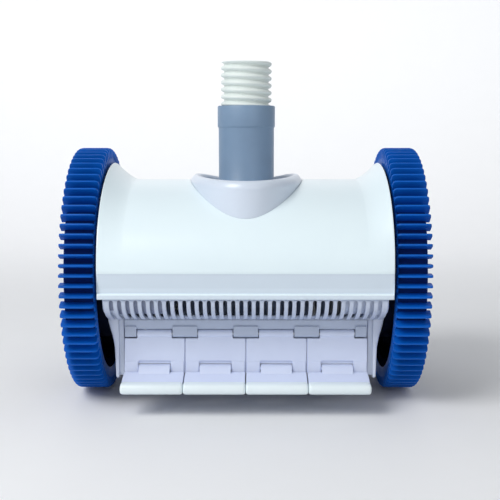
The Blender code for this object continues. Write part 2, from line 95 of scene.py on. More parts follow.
# Height, and how far the shell's front and rear faces lie inside its greatest depth there
SKIRT = (
    (SHELL_LIP_Z, 0.5), (104.6, 0.1), (105.0, 0.0), (107.9, 0.0), (108.5, 0.3), (109.0, 1.9),
    (109.8, 3.6), (112.5, 3.2), (116.0, 2.5), (120.0, 1.6), (124.0, 0.7), (125.9, 0.3),
)
SKIRT_DEPTH = 4.5
LIP_LEDGE_Z = (107.8, 109.2)
COLLAR_HALF_X = 52.4
COLLAR_FRONT_Y = 91.2
COLLAR_REAR_Y = 54.0
COLLAR_RIM_Z = 203.3
COLLAR_SEAT_Z = 188.5
COLLAR_POINTS = 96

# Tube and hose
TUBE_R = 26.3
TUBE_TOP_Z = 269.6
HOSE_TOP_Z = 310.0
RIB_PITCH = 6.65
RIB_SHARE = 0.66
GROOVE_R = 21.0
HOSE_R = 24.0
HOSE_BOTTOM_Z = 227.0
HOSE_POINTS = 120
HOSE_ROWS = 84

# Grille
SLOTS = 34
SLOT_PITCH = 6.94
SLOT_HALF = 1.8
OPEN_SLOTS = range(7, 29)
GRILLE_HALF_X = 121.0
GRILLE_WALL = 2.4
BLIND_DEPTH = 1.5
# The panel's side view from its top down: distance out from the middle, and height
BELLY = (
    (112.4, 103.8), (112.0, 99.8), (110.2, 95.8), (106.6, 91.8),
    (101.0, 88.0), (94.0, 84.8), (87.0, 82.2), (81.2, 80.2),
)

# Side plates and pan: height, and how far out the edge band reaches there
BAND_REACH = (
    (27.0, 116.1), (55.0, 117.4), (64.0, 119.1), (70.0, 120.8),
    (76.0, 122.3), (82.0, 123.4), (90.0, 123.6), (103.0, 122.4),
)
PAN_HALF_X = 108.0
SADDLE_X = 72

# Flaps
FLAPS = 4
FLAP_PITCH = 54.2
FLAP_HALF = 26.95
REBATE = 0.5
SHOULDER = 4.4
EAR_FACE = 2.0
WEB_CLEAR = 4.2
HINGE_Y = 77.0
HINGE_Z = 66.8
FOOT_Y = 81.4
FOOT_Z = 36.0
NOTCH_HALF = 14.3
TONGUE_HALF = 15.4
TAB_HALF = 11.0
ROD_R = 1.5
PEG_R = 1.5
BEAD_Y = -109.5
BEAD_Z = 25.4
# Distance in from the bead's end, and its section's share of full size there
BEAD_END = ((0, 0.62), (0.25, 0.78), (0.8, 0.9), (1.7, 0.975), (2.8, 1.0))

# Turned pieces: radius and distance out from the middle
CAP_PROFILE = (
    (0, 156.2), (9.2, 156.2), (9.5, 155.9), (9.5, 153.8), (9.9, 153.4), (12.6, 153.4), (13.0, 153.8),
    (13.0, 156.0), (12.6, 156.8), (11.6, 157.4), (10.6, 157.4), (10.2, 157.1), (9.6, 157.2), (8.6, 157.8),
    (6.0, 158.3), (3.0, 158.55), (0, 158.6),
)
AXLE_PROFILE = (
    (0, 103.0), (8.2, 103.0), (9.0, 103.8), (9.0, 108.0), (8.6, 108.4), (5.0, 108.4), (5.0, 151.4),
    (4.4, 152.0), (2.3, 152.0), (2.3, 134.0), (0, 134.0),
)
BUSH_PROFILE = (
    (5.1, 137.5), (5.4, 137.2), (6.8, 137.2), (7.1, 137.5), (7.1, 151.3), (6.8, 151.6), (5.4, 151.6),
    (5.1, 151.3),
)
SCREW_PROFILE = (
    (0, 135.0), (1.6, 135.0), (2.0, 135.4), (2.0, 152.3), (6.0, 152.3), (6.4, 152.7), (6.4, 153.6),
    (5.9, 154.6), (5.0, 155.3), (2.4, 155.3), (1.9, 153.6), (0, 153.4),
)
ON_AXLE = {"axle": AXLE_PROFILE, "wheel_bush": BUSH_PROFILE, "wheel_screw": SCREW_PROFILE}
BEARING_PROFILE = (
    (4.1, 108.7), (4.4, 108.4), (6.7, 108.4), (7.0, 108.7), (7.0, 120.7), (6.7, 121.0), (4.4, 121.0),
    (4.1, 120.7),
)
ROTOR_HALF = (
    (0, 136.5), (3.5, 136.5), (4.0, 136.0), (4.0, 79.6), (4.6, 79.0), (18.5, 79.0), (19.0, 78.5),
    (19.0, 76.5), (18.5, 76.0), (12.3, 76.0), (11.5, 75.2),
)


# Points, loops and meshes


def place(axis, along, u, v):
    if axis == "X":
        return (along, u, v)
    if axis == "Y":
        return (u, along, v)
    return (u, v, along)


def circle(radius, centre, count, first=0.0):
    points = []
    for i in range(count):
        turn = first + 2 * pi * i / count
        points.append((centre[0] + radius * cos(turn), centre[1] + radius * sin(turn)))
    return points


def level_circle(radius, z, count):
    return [(x, y, z) for x, y in circle(radius, (0, 0), count)]


def spoke(turn):
    """A unit vector at the angle, and the one a quarter turn on from it."""
    out = Vector((cos(turn), sin(turn)))
    return out, Vector((-out.y, out.x))


def area(loop):
    return sum(a[0] * b[1] - b[0] * a[1] for a, b in zip(loop, loop[1:] + loop[:1])) / 2


def rounded(loop, radius, steps=4):
    """The loop with each corner rounded; radius is one number, or one for each corner."""
    radii = radius if isinstance(radius, (list, tuple)) else [radius] * len(loop)
    points = []
    for before, here, after, wanted in zip(loop[-1:] + loop[:-1], loop, loop[1:] + loop[:1], radii):
        here = Vector(here)
        one = Vector(before) - here
        two = Vector(after) - here
        reach = min(wanted, 0.48 * one.length, 0.48 * two.length)
        if reach < 0.01:
            points.append(tuple(here))
            continue
        start = here + one.normalized() * reach
        end = here + two.normalized() * reach
        for k in range(steps + 1):
            t = k / steps
            points.append(tuple(start * (1 - t) ** 2 + here * 2 * t * (1 - t) + end * t * t))
    return points


def inset(loop, distance):
    sign = 1 if area(loop) > 0 else -1
    moved = []
    for before, here, after in zip(loop[-1:] + loop[:-1], loop, loop[1:] + loop[:1]):
        first = Vector((here[0] - before[0], here[1] - before[1])).normalized()
        second = Vector((after[0] - here[0], after[1] - here[1])).normalized()
        side = Vector((-first.y - second.y, first.x + second.x)) * sign
        side.normalize()
        lean = max(0.4, side.dot(Vector((-first.y, first.x)) * sign))
        moved.append((here[0] + side.x * distance / lean, here[1] + side.y * distance / lean))
    return moved


class Shape:
    """Closed shells gathered into one mesh, in millimetres."""

    def __init__(self):
        self.points = []
        self.faces = []

    def add(self, points, faces):
        start = len(self.points)
        self.points += [tuple(point) for point in points]
        self.faces += [tuple(start + i for i in face) for face in faces]
        return self

    def prism(self, loop, axis, low, high):
        return self.between([place(axis, along, *point) for along in (low, high) for point in loop])

    def between(self, points):
        """The first half of the points is one loop and the second half the other."""
        count = len(points) // 2
        faces = [tuple(range(count)), tuple(range(count, 2 * count))]
        faces += [(i, (i + 1) % count, (i + 1) % count + count, i + count) for i in range(count)]
        return self.add(points, faces)

    def rings(self, rings, closed=True):
        """Equal rings joined in turn; the last joins the first, or else both ends are capped."""
        segments = max(len(ring) for ring in rings)
        points = []
        numbered = []
        for ring in rings:
            if len(ring) == 1:
                numbered.append([len(points)] * segments)
            else:
                numbered.append(list(range(len(points), len(points) + segments)))
            points += ring
        faces = []
        following = numbered[1:] + numbered[:1] if closed else numbered[1:]
        for lower, upper in zip(numbered, following):
            for i in range(segments):
                j = (i + 1) % segments
                corners = tuple(dict.fromkeys((lower[i], lower[j], upper[j], upper[i])))
                if len(corners) > 2:
                    faces.append(corners)
        if not closed:
            faces += [tuple(numbered[0]), tuple(numbered[-1])]
        return self.add(points, faces)

    def lathe(self, profile, axis, centre, segments=64, side=1):
        """Turns a profile of (radius, distance along the axis), which side=-1 mirrors."""
        rings = []
        for radius, away in profile:
            along = away * side
            if radius == 0:
                rings.append([place(axis, along, *centre)])
            else:
                rings.append([place(axis, along, *point) for point in circle(radius, centre, segments)])
        return self.rings(rings)

    def rod(self, radius, axis, centre, low, high, segments=32, edge=0.4):
        edge = min(edge, radius * 0.5)
        profile = [(0, low), (radius - edge, low), (radius, low + edge)]
        profile += [(radius, high - edge), (radius - edge, high), (0, high)]
        return self.lathe(profile, axis, centre, segments)

    def build(self, name, bevel=0.0, sharp_deg=32, flip_y=False, shift_x=0.0):
        """An object in the scene; a bevelled one keeps its bevel as a modifier."""
        turn_y = -1 if flip_y else 1
        points = [((x + shift_x) * MM, y * turn_y * MM, z * MM) for x, y, z in self.points]
        mesh = bpy.data.meshes.new(name)
        mesh.from_pydata(points, [], self.faces)
        shape = bmesh.new()
        shape.from_mesh(mesh)
        bmesh.ops.recalc_face_normals(shape, faces=shape.faces)
        shape.to_mesh(mesh)
        shape.free()
        mesh.shade_smooth()
        obj = into_scene(name, mesh)
        if bevel:
            add_bevel(obj, bevel, sharp_deg)
        else:
            mesh.set_sharp_from_angle(angle=radians(sharp_deg))
        return obj


def into_scene(name, data):
    obj = bpy.data.objects.new(name, data)
    bpy.context.scene.collection.objects.link(obj)
    return obj


def combine(obj, other, operation):
    """Joins the other's mesh to the object's or cuts it from it; the other is used up."""
    modifier = obj.modifiers.new(operation, "BOOLEAN")
    modifier.operation = operation
    modifier.solver = "EXACT"
    modifier.object = other
    graph = bpy.context.evaluated_depsgraph_get()
    obj.data = bpy.data.meshes.new_from_object(obj.evaluated_get(graph))
    obj.modifiers.clear()
    bpy.data.objects.remove(other, do_unlink=True)


def join_meshes(obj, other):
    """Puts the other's closed shells into the object's mesh as they are."""
    mesh = bmesh.new()
    mesh.from_mesh(obj.data)
    mesh.from_mesh(other.data)
    mesh.to_mesh(obj.data)
    mesh.free()
    bpy.data.objects.remove(other, do_unlink=True)


def add_bevel(obj, width, sharp_deg=32):
    modifier = obj.modifiers.new("edges", "BEVEL")
    modifier.width = width * MM
    modifier.segments = 2
    modifier.limit_method = "ANGLE"
    modifier.angle_limit = radians(sharp_deg)
    modifier.harden_normals = True


def two_tone(piece, first, second, is_second):
    """Gives the piece two materials, the second on each face whose middle, in millimetres, passes."""
    piece.data.materials.append(materials[first])
    piece.data.materials.append(materials[second])
    for polygon in piece.data.polygons:
        if is_second(polygon.center / MM):
            polygon.material_index = 1
    return piece


def from_axle(point):
    return hypot(point.y, point.z - AXLE_Z)


# Materials


def srgb(red, green, blue):
    """A linear colour from three 8-bit display values."""
    channels = []
    for value in (red, green, blue):
        share = value / 255
        channels.append(share / 12.92 if share <= 0.04045 else ((share + 0.055) / 1.055) ** 2.4)
    return tuple(channels)


def node(tree, kind, **settings):
    made = tree.nodes.new(kind)
    for key, value in settings.items():
        if key in made.inputs:
            made.inputs[key].default_value = value
        else:
            setattr(made, key, value)
    return made


def noise(tree, where, **settings):
    made = node(tree, "ShaderNodeTexNoise", **settings)
    tree.links.new(where.outputs["Object"], made.inputs["Vector"])
    return made


def moulded(name, colour, roughness, mottle=0.03, grain=0.12, grain_mm=0.6, coat=0.0, spread=0.05,
            metallic=0.0, scratches=0.0, subsurface=0.0, specular=0.5):
    """A moulded material: mottled colour, uneven gloss, fine grain and, where asked for, faint scratches."""
    material = bpy.data.materials.new(name)
    material.use_nodes = True
    tree = material.node_tree
    links = tree.links
    shader = tree.nodes["Principled BSDF"]
    settings = {"Metallic": metallic, "Coat Weight": coat, "Coat Roughness": 0.28, "IOR": 1.5}
    settings["Specular IOR Level"] = specular
    if subsurface:
        settings["Subsurface Weight"] = subsurface
        settings["Subsurface Scale"] = 0.002
        settings["Subsurface Radius"] = (1.0, 1.0, 1.0)
    for key, value in settings.items():
        shader.inputs[key].default_value = value
    where = node(tree, "ShaderNodeTexCoord")
    broad = noise(tree, where, Scale=24.0, Detail=5.0, Roughness=0.6)
    tint = node(tree, "ShaderNodeValToRGB")
    dark = [channel * (1 - mottle) for channel in colour]
    light = [min(1.0, channel * (1 + mottle)) for channel in colour]
    tint.color_ramp.elements[0].position = 0.3
    tint.color_ramp.elements[1].position = 0.7
    tint.color_ramp.elements[0].color = (*dark, 1)
    tint.color_ramp.elements[1].color = (*light, 1)
    links.new(broad.outputs["Fac"], tint.inputs["Fac"])
    links.new(tint.outputs["Color"], shader.inputs["Base Color"])
    smears = noise(tree, where, Scale=60.0, Detail=6.0, Roughness=0.65, Distortion=0.4)
    limits = {"From Min": 0.3, "From Max": 0.7}
    limits["To Min"] = max(0.02, roughness - spread)
    limits["To Max"] = min(1.0, roughness + spread)
    gloss = node(tree, "ShaderNodeMapRange", **limits)
    links.new(smears.outputs["Fac"], gloss.inputs["Value"])
    links.new(gloss.outputs["Result"], shader.inputs["Roughness"])
    fine = noise(tree, where, Scale=1000.0 / grain_mm, Detail=3.0)
    height = fine.outputs["Fac"]
    if scratches:
        stretch = node(tree, "ShaderNodeMapping", Scale=(14.0, 900.0, 900.0))
        links.new(where.outputs["Object"], stretch.inputs["Vector"])
        lines = node(tree, "ShaderNodeTexNoise", Scale=1.0, Detail=2.0)
        links.new(stretch.outputs["Vector"], lines.inputs["Vector"])
        total = node(tree, "ShaderNodeMath", operation="MULTIPLY_ADD")
        links.new(lines.outputs["Fac"], total.inputs[0])
        total.inputs[1].default_value = scratches
        links.new(height, total.inputs[2])
        height = total.outputs["Value"]
    bump = node(tree, "ShaderNodeBump", Strength=grain, Distance=0.0002)
    links.new(height, bump.inputs["Height"])
    links.new(bump.outputs["Normal"], shader.inputs["Normal"])
    return material


# Shell and collar


def flare(x):
    """How much higher the crown is at x than in the middle."""
    reach = max(0.0, (abs(x) - FLARE_START_X) / (SHELL_HALF_X - FLARE_START_X))
    return FLARE_RISE * min(1.0, reach) ** 1.5


def crown_z(x, y):
    share = max(0.0, 1 - (y / SHELL_HALF_Y) ** 2)
    return SHELL_CREASE_Z + (SHELL_RISE + flare(x)) * sqrt(share)


def shell_strip(x, inward, steps=72):
    """The shell's side view at x, moved inwards; the outer surface has the lip and the sunk skirt."""
    half_y = SHELL_HALF_Y - inward
    rise = SHELL_RISE + flare(x) - inward
    skirt = []
    for z, sink in SKIRT:
        skirt.append((half_y - (sink if inward < 1 else 0.0), z))
    profile = [(x, -y, z) for y, z in skirt]
    for i in range(steps + 1):
        turn = pi * i / steps
        profile.append((x, -half_y * cos(turn), SHELL_CREASE_Z + rise * sin(turn)))
    return profile + [(x, y, z) for y, z in reversed(skirt)]


def shell_stations():
    """Pairs of x and depth below the outer surface, once round the shell's section along X."""
    half = [SHELL_HALF_X - 0.7 - 0.95 * k for k in range(24)] + [96.0 - 8.0 * k for k in range(12)]
    across = half + [0.0] + [-x for x in reversed(half)]
    ends = [(SHELL_HALF_X - 0.15, 0.3), (SHELL_HALF_X, 1.0), (SHELL_HALF_X, 2.0), (SHELL_HALF_X - 0.15, 2.7)]
    loop = [(x, 0.0) for x in across]
    loop += [(-x, depth) for x, depth in ends]
    loop += [(x, WALL) for x in reversed(across)]
    loop += [(x, depth) for x, depth in reversed(ends)]
    return loop


def collar_outline(inward):
    points = []
    for i in range(COLLAR_POINTS):
        turn = 2 * pi * i / COLLAR_POINTS
        reach = COLLAR_REAR_Y if sin(turn) > 0 else COLLAR_FRONT_Y
        points.append(((COLLAR_HALF_X - inward) * cos(turn), (reach - inward) * sin(turn)))
    return points


def rim_z(turn):
    """The height of the collar's rim: highest at the sides, lowest at the rear."""
    dip = max(0.0, sin(turn))
    return COLLAR_RIM_Z + 2.2 * cos(turn) ** 2 - 5.8 * dip**3


def upper_shell():
    stations = shell_stations()
    strips = [shell_strip(x, depth) for x, depth in stations]
    count = len(strips[0])
    points = [point for strip in strips for point in strip]
    faces = []
    for k in range(len(strips)):
        here = k * count
        there = (k + 1) % len(strips) * count
        for i in range(count - 1):
            faces.append((here + i, here + i + 1, there + i + 1, there + i))
    for i in (0, count - 1):
        faces.append(tuple(k * count + i for k in range(len(strips))))
    shell = Shape().add(points, faces).build("shell_visual", sharp_deg=40)
    hole = Shape().prism(collar_outline(-0.6), "Z", 150, 230).build("hole")
    combine(shell, hole, "DIFFERENCE")
    shell.data.set_sharp_from_angle(angle=radians(40))

    # The skirt band below the crease, less the lip's ledge, gets a darker copy of the shell's white: painted
    # shade for a band that faces forward and catches less light.
    def on_skirt(middle):
        low, high = LIP_LEDGE_Z
        outside = abs(middle.y) > SHELL_HALF_Y - SKIRT_DEPTH and middle.z < SHELL_CREASE_Z
        return outside and not low < middle.z < high

    return two_tone(shell, "shell_white", "skirt_white", on_skirt)


def hose_collar():
    """The collar: a steep wall up from the shell, a rolled rim, and a floor inside round the tube.

    The wall is pairs of how far inside the outline and how far below the rim.
    """
    wall = [(-0.3, 10.5), (-0.25, 8.6), (-0.5, 7.4), (-0.1, 5.6), (0.6, 3.8), (1.7, 2.1), (3.1, 0.8)]
    wall += [(4.6, 0.1), (6.0, 0.2), (7.2, 0.9), (8.1, 2.1), (8.7, 3.8), (9.0, 6.0), (9.3, 8.2)]

    def ring(inward, height):
        points = []
        for i, (x, y) in enumerate(collar_outline(inward)):
            points.append((x, y, height(x, y, 2 * pi * i / COLLAR_POINTS)))
        return points

    rings = []
    for rise in (-4.0, 0.3):
        rings.append(ring(-0.3, lambda x, y, turn: crown_z(x, y) + rise))
    for k, (inward, drop) in enumerate(wall):
        rise = 0.45 + 0.15 * k
        rings.append(ring(inward, lambda x, y, turn: max(crown_z(x, y) + rise, rim_z(turn) - drop)))
    for inward, z in ((9.5, 192.6), (10.4, 191.4), (12.0, 191.0)):
        rings.append(ring(inward, lambda x, y, turn: z))
    for radius, z in ((37.6, 191.0), (37.0, 190.4), (37.0, COLLAR_SEAT_Z)):
        rings.append(level_circle(radius, z, COLLAR_POINTS))
    rings.append(ring(8.0, lambda x, y, turn: COLLAR_SEAT_Z))
    rings.append(ring(4.5, lambda x, y, turn: min(188.0, crown_z(x, y) - 4)))
    return Shape().rings(rings).build("collar_visual", sharp_deg=50)


def swivel_tube():
    """A flanged tube with a wider cuff at its top and a step inside that the hose stands on."""
    cuff = TUBE_TOP_Z - 19.5
    top = TUBE_TOP_Z
    outer = TUBE_R + 0.9
    profile = [(22.2, 190.0), (22.7, 189.5), (30.5, 189.5), (31.0, 190.0), (31.0, 191.8), (30.5, 192.3)]
    profile += [(TUBE_R + 0.6, 192.3), (TUBE_R, 193.0), (TUBE_R, cuff - 1.4), (TUBE_R + 0.12, cuff - 1.0)]
    profile += [(outer - 0.12, cuff - 0.1), (outer, cuff + 0.3), (outer, top - 1.1), (outer - 0.3, top - 0.4)]
    profile += [(outer - 0.9, top), (25.0, top), (24.6, top - 0.2), (24.4, top - 0.7), (24.4, 226.0)]
    profile += [(22.2, 222.0)]
    return Shape().lathe(profile, "Z", (0, 0), 96).build("swivel_tube_visual", sharp_deg=50)


def rib_radius(phase):
    """The hose's radius across one rib: a round white rib, then a narrow groove."""
    if phase > RIB_SHARE:
        return GROOVE_R
    lift = sin(pi * phase / RIB_SHARE)
    return GROOVE_R + (HOSE_R - GROOVE_R) * lift**0.4


def hose_end():
    """A plain spigot inside the tube and one spiral rib above it."""
    bottom = HOSE_BOTTOM_Z
    start = TUBE_TOP_Z + 0.6
    spigot = ((20.0, bottom), (23.5, bottom), (23.9, bottom + 0.5), (23.9, start - 3.0), (21.4, start - 2.2))
    rings = [level_circle(radius, z, HOSE_POINTS) for radius, z in spigot]
    for k in range(HOSE_ROWS + 1):
        z = start - 1.6 + (HOSE_TOP_Z - start + 1.6) * k / HOSE_ROWS
        ring = []
        for i in range(HOSE_POINTS):
            turn = 2 * pi * i / HOSE_POINTS
            radius = rib_radius((z / RIB_PITCH + i / HOSE_POINTS) % 1.0)
            ring.append((radius * cos(turn), radius * sin(turn), z))
        rings.append(ring)
    rings.append(level_circle(20.4, HOSE_TOP_Z, HOSE_POINTS))
    rings.append(level_circle(20.0, HOSE_TOP_Z - 0.4, HOSE_POINTS))
    return Shape().rings(rings).build("hose_end_visual", sharp_deg=50)


# Grille


def smooth_line(points, steps=8):
    """A Catmull-Rom line through the points."""
    line = []
    ends = [points[0]] + list(points) + [points[-1]]
    for a, b, c, d in zip(ends, ends[1:], ends[2:], ends[3:]):
        a, b, c, d = Vector(a), Vector(b), Vector(c), Vector(d)
        for k in range(steps):
            t = k / steps
            bend = (c - a) * t + (2 * a - 5 * b + 4 * c - d) * t**2 + (3 * b - a - 3 * c + d) * t**3
            line.append(b + bend / 2)
    line.append(Vector(points[-1]))
    return line


class Belly:
    """The grille's side view by distance along it from the top."""

    def __init__(self):
        self.line = smooth_line(BELLY)
        self.reach = [0.0]
        for a, b in zip(self.line, self.line[1:]):
            self.reach.append(self.reach[-1] + (b - a).length)
        self.length = self.reach[-1]

    def at(self, along, depth=0.0):
        along = min(max(along, 0.0), self.length)
        for k in range(len(self.line) - 1):
            if along <= self.reach[k + 1] + 1e-9:
                break
        a, b = self.line[k], self.line[k + 1]
        t = (along - self.reach[k]) / (self.reach[k + 1] - self.reach[k])
        point = a + (b - a) * t
        forward = self.line[min(k + 2, len(self.line) - 1)] - self.line[max(k - 1, 0)]
        forward.normalize()
        point = point + Vector((forward.y, -forward.x)) * depth
        return point.x, point.y


def slot_rows(top, bottom):
    """Distances along the belly down a slot's straight edges."""
    return [top + SLOT_HALF + (bottom - top - 2 * SLOT_HALF) * k / 12 for k in range(13)]


def grille_cell(left, right, top, bottom, length):
    """The faces round one slot, as loops of (x, distance along the belly)."""
    quads = []
    hole = []
    outer = []
    middle = (left + right) / 2
    arc = [pi * k / 6 for k in range(7)]
    columns = [right, (right + middle) / 2, middle, (left + middle) / 2, left]
    spread = [right] + columns + [left]
    for k, turn in enumerate(arc):
        hole.append((middle + SLOT_HALF * cos(turn), top + SLOT_HALF - SLOT_HALF * sin(turn)))
        outer.append((spread[k], top + SLOT_HALF if k in (0, 6) else top - 0.6))
    rows = slot_rows(top, bottom)[1:-1]
    for v in rows:
        hole.append((middle - SLOT_HALF, v))
        outer.append((left, v))
    for k, turn in enumerate(arc):
        hole.append((middle - SLOT_HALF * cos(turn), bottom - SLOT_HALF + SLOT_HALF * sin(turn)))
        outer.append((spread[6 - k], bottom - SLOT_HALF if k in (0, 6) else bottom + 0.6))
    for v in reversed(rows):
        hole.append((middle + SLOT_HALF, v))
        outer.append((right, v))
    for k in range(len(hole)):
        n = (k + 1) % len(hole)
        quads.append((outer[k], outer[n], hole[n], hole[k]))
    for low, high in ((0.0, top - 0.6), (bottom + 0.6, length)):
        for a, b in zip(columns, columns[1:]):
            quads.append(((a, low), (b, low), (b, high), (a, high)))
    return quads


def grille(name, flip):
    """The slotted panel: one sheet of joined faces, thickened inwards and softened at its edges."""
    belly = Belly()
    top, bottom = 0.7, belly.length - 1.1
    quads = []
    edges = [(i - SLOTS / 2) * SLOT_PITCH for i in range(SLOTS + 1)]
    for left, right in zip(edges, edges[1:]):
        quads += grille_cell(left, right, top, bottom, belly.length)
    rows = [0.0, top - 0.6] + slot_rows(top, bottom) + [bottom + 0.6, belly.length]
    for low, high in ((-GRILLE_HALF_X, edges[0]), (edges[-1], GRILLE_HALF_X)):
        for a, b in zip(rows, rows[1:]):
            quads.append(((high, a), (low, a), (low, b), (high, b)))
    sheet = bmesh.new()
    known = {}
    for quad in quads:
        corners = []
        for u, v in quad:
            key = (round(u, 3), round(v, 3))
            if key not in known:
                y, z = belly.at(v)
                known[key] = sheet.verts.new((u * MM, (y if flip else -y) * MM, z * MM))
            corners.append(known[key])
        corners = list(dict.fromkeys(corners))
        if len(corners) > 2 and not sheet.faces.get(corners):
            sheet.faces.new(corners)
    bmesh.ops.recalc_face_normals(sheet, faces=sheet.faces)
    outward = sum(face.normal.y * face.calc_area() for face in sheet.faces)
    if (outward > 0) != flip:
        bmesh.ops.reverse_faces(sheet, faces=sheet.faces)
    mesh = bpy.data.meshes.new(name)
    sheet.to_mesh(mesh)
    sheet.free()
    panel = into_scene(name, mesh)
    mesh.shade_smooth()
    thick = panel.modifiers.new("wall", "SOLIDIFY")
    thick.thickness = GRILLE_WALL * MM
    thick.offset = -1
    add_bevel(panel, 0.35, 50)
    return panel


def slot_backs(name, flip):
    """Strips behind the grille that close the end slots, and the low ends of the others."""
    belly = Belly()
    shape = Shape()

    def strip(start, end, depth, low, high):
        outer = []
        inner = []
        for k in range(15):
            along = start + (end - start) * k / 14
            outer.append(belly.at(along, depth))
            inner.append(belly.at(along, depth + 1.6))
        shape.prism([(-y, z) for y, z in outer + list(reversed(inner))], "X", low, high)

    first = (OPEN_SLOTS.start - SLOTS / 2) * SLOT_PITCH
    last = (OPEN_SLOTS.stop - SLOTS / 2) * SLOT_PITCH
    for low, high in ((-GRILLE_HALF_X + 2, first), (last, GRILLE_HALF_X - 2)):
        strip(0.4, belly.length - 7.5, GRILLE_WALL + BLIND_DEPTH, low, high)
    strip(belly.length - 5.2, belly.length - 0.6, GRILLE_WALL - 0.6, first, last)
    backs = shape.build(name, bevel=0.2, flip_y=flip)
    # The blind strips at the left end get a darker grey than those at the right: painted shade in channels
    # that face away from the key lamp.
    return two_tone(backs, "body_grey", "slot_shade", lambda middle: middle.x < first)


# Side plates and base pan


def plate_outline():
    """The plate's side view: an arch under the shell, the grille's ends, and a leg at either end."""
    half_y = SHELL_HALF_Y - WALL - 0.8
    rise = SHELL_RISE - WALL - 0.8
    arch = []
    for i in range(41):
        turn = pi * i / 40
        arch.append((half_y * cos(turn), SHELL_CREASE_Z + rise * sin(turn)))
    belly = smooth_line([(108.2, 101.2), (103.5, 94.9), (97.2, 90.0), (88.6, 86.0), (79.6, 83.0)], 3)
    leg = smooth_line([(78.1, 81.6), (77.5, 72.0), (77.3, 58.0), (78.5, 42.0), (80.4, 28.0)], 4)
    under = smooth_line([(79.4, 27.0), (62.6, 27.0)], 2)
    under += smooth_line([(61.6, 28.0), (57, 40), (47, 53), (30, 62)], 4)
    side = [(point[0], point[1]) for point in belly + leg + under]
    front = [(-y, z) for y, z in side]
    return arch + front + list(reversed(side))


def plate_outer_x(z):
    """How far out the edge band reaches: the legs draw in towards their feet."""
    for (low, x_low), (high, x_high) in zip(BAND_REACH, BAND_REACH[1:]):
        if z <= high:
            t = max(0.0, (z - low) / (high - low))
            return x_low + (x_high - x_low) * t
    return BAND_REACH[-1][1]


def side_plate(name, side):
    """A web with a proud rounded band round its outer edge, and the bosses of the axle and the gears."""
    outline = plate_outline()

    def ring(depth, x, from_outer):
        points = []
        for (y, z), (_, level) in zip(inset(outline, depth), outline):
            along = plate_outer_x(level) + x if from_outer else x
            points.append((along * side, y, z))
        return points

    edge = ((3.4, 108.8), (2.8, 109.2), (2.8, 113.0), (2.4, 113.3), (1.0, 113.3), (0.35, 113.5), (0, 114.1))
    band = ((0.0, -1.4), (0.2, -0.7), (0.7, -0.2), (1.4, 0.0), (2.6, 0.0), (3.2, -0.3), (3.5, -0.9))
    rings = [ring(depth, x, False) for depth, x in edge]
    rings += [ring(depth, x, True) for depth, x in band]
    rings += [ring(depth, x, False) for depth, x in ((3.8, 112.6), (4.4, 112.0))]
    plate = Shape().rings(rings, closed=False)
    for centre, bore, radius, reach in (
        (WHEEL_AXIS, 5.3, 9.0, 121.0),
        (SHAFT_AXIS, 7.3, 9.6, 121.0),
        (IDLER_AXIS, 0.0, 6.0, 126.6),
        (IDLER_AXIS, 0.0, 3.0, 136.2),
    ):
        profile = [(bore, 111.0), (radius + 1.2, 111.0), (radius + 0.3, 112.9), (radius, 114.0)]
        profile += [(radius, reach - 0.6), (radius - 0.6, reach), (bore, reach)]
        plate.lathe(profile, "X", centre, 48, side)
    for turn in range(15, 360, 30):
        out, across = spoke(radians(turn))
        across *= 0.9
        near = Vector(WHEEL_AXIS) + out * 31
        far = Vector(WHEEL_AXIS) + out * (60 if 200 < turn < 340 else 66)
        if far.y < 66 or (IDLER_Y - near.x) ** 2 + (IDLER_Z - near.y) ** 2 < 200:
            continue
        loop = [tuple(near - across), tuple(far - across), tuple(far + across), tuple(near + across)]
        plate.prism(loop, "X", *sorted((111.6 * side, 114.6 * side)))
    piece = plate.build(name, sharp_deg=35)
    # The side plates get a lighter copy of the body's grey: painted light on the plates and their edge bands.
    piece.data.materials.append(materials["plate_grey"])
    return piece


def base_pan():
    """The pan with its apron at each end, the hinge tabs, the saddles and the mouth."""
    half = [(80.2, 79.8), (80.1, 78.6), (78.7, 71.6), (78.0, 70.7), (76.9, 70.5)]
    inner = [(75.0, 79.2), (74.0, 75.0), (72.0, 73.2)]
    outline = [(-y, z) for y, z in half] + [(y, z) for y, z in reversed(half)]
    outline += inner + [(-y, z) for y, z in reversed(inner)]
    pan = Shape().prism(outline, "X", -PAN_HALF_X, PAN_HALF_X).build("base_pan_visual")
    mouth = Shape().prism(rounded([(-64, -22), (64, -22), (64, 22), (-64, 22)], 5), "Z", 60, 82)
    combine(pan, mouth.build("mouth"), "DIFFERENCE")
    more = Shape()
    for side in (-1, 1):
        for gap in range(-2, 3):
            low = max(gap * FLAP_PITCH - TAB_HALF, 0.5 - PAN_HALF_X)
            high = min(gap * FLAP_PITCH + TAB_HALF, PAN_HALF_X - 0.5)
            more.prism(tab_outline(side), "X", low, high)
    for end in (-1, 1):
        arc = circle(CHAMBER_OUTER_R + 0.5, SHAFT_AXIS, 96)
        top = [point for point in arc if abs(point[0]) < 36 and point[1] < 104]
        top.sort()
        saddle = [(36, 73), (36, 104)] + list(reversed(top)) + [(-36, 104), (-36, 73)]
        more.prism(saddle, "X", end * SADDLE_X - 3, end * SADDLE_X + 3)
    join_meshes(pan, more.build("extra"))
    add_bevel(pan, 0.45)
    pan.data.materials.append(materials["pan_grey"])
    return pan


def tab_outline(side):
    """A hinge tab's side view: square on top, round below the rod."""
    points = []
    for i in range(13):
        turn = pi + pi * i / 12
        points.append((side * (HINGE_Y + 3.4 * cos(turn)), HINGE_Z + 3.4 * sin(turn)))
    return points + [(side * (HINGE_Y + 3.4), 74.0), (side * (HINGE_Y - 3.4), 74.0)]


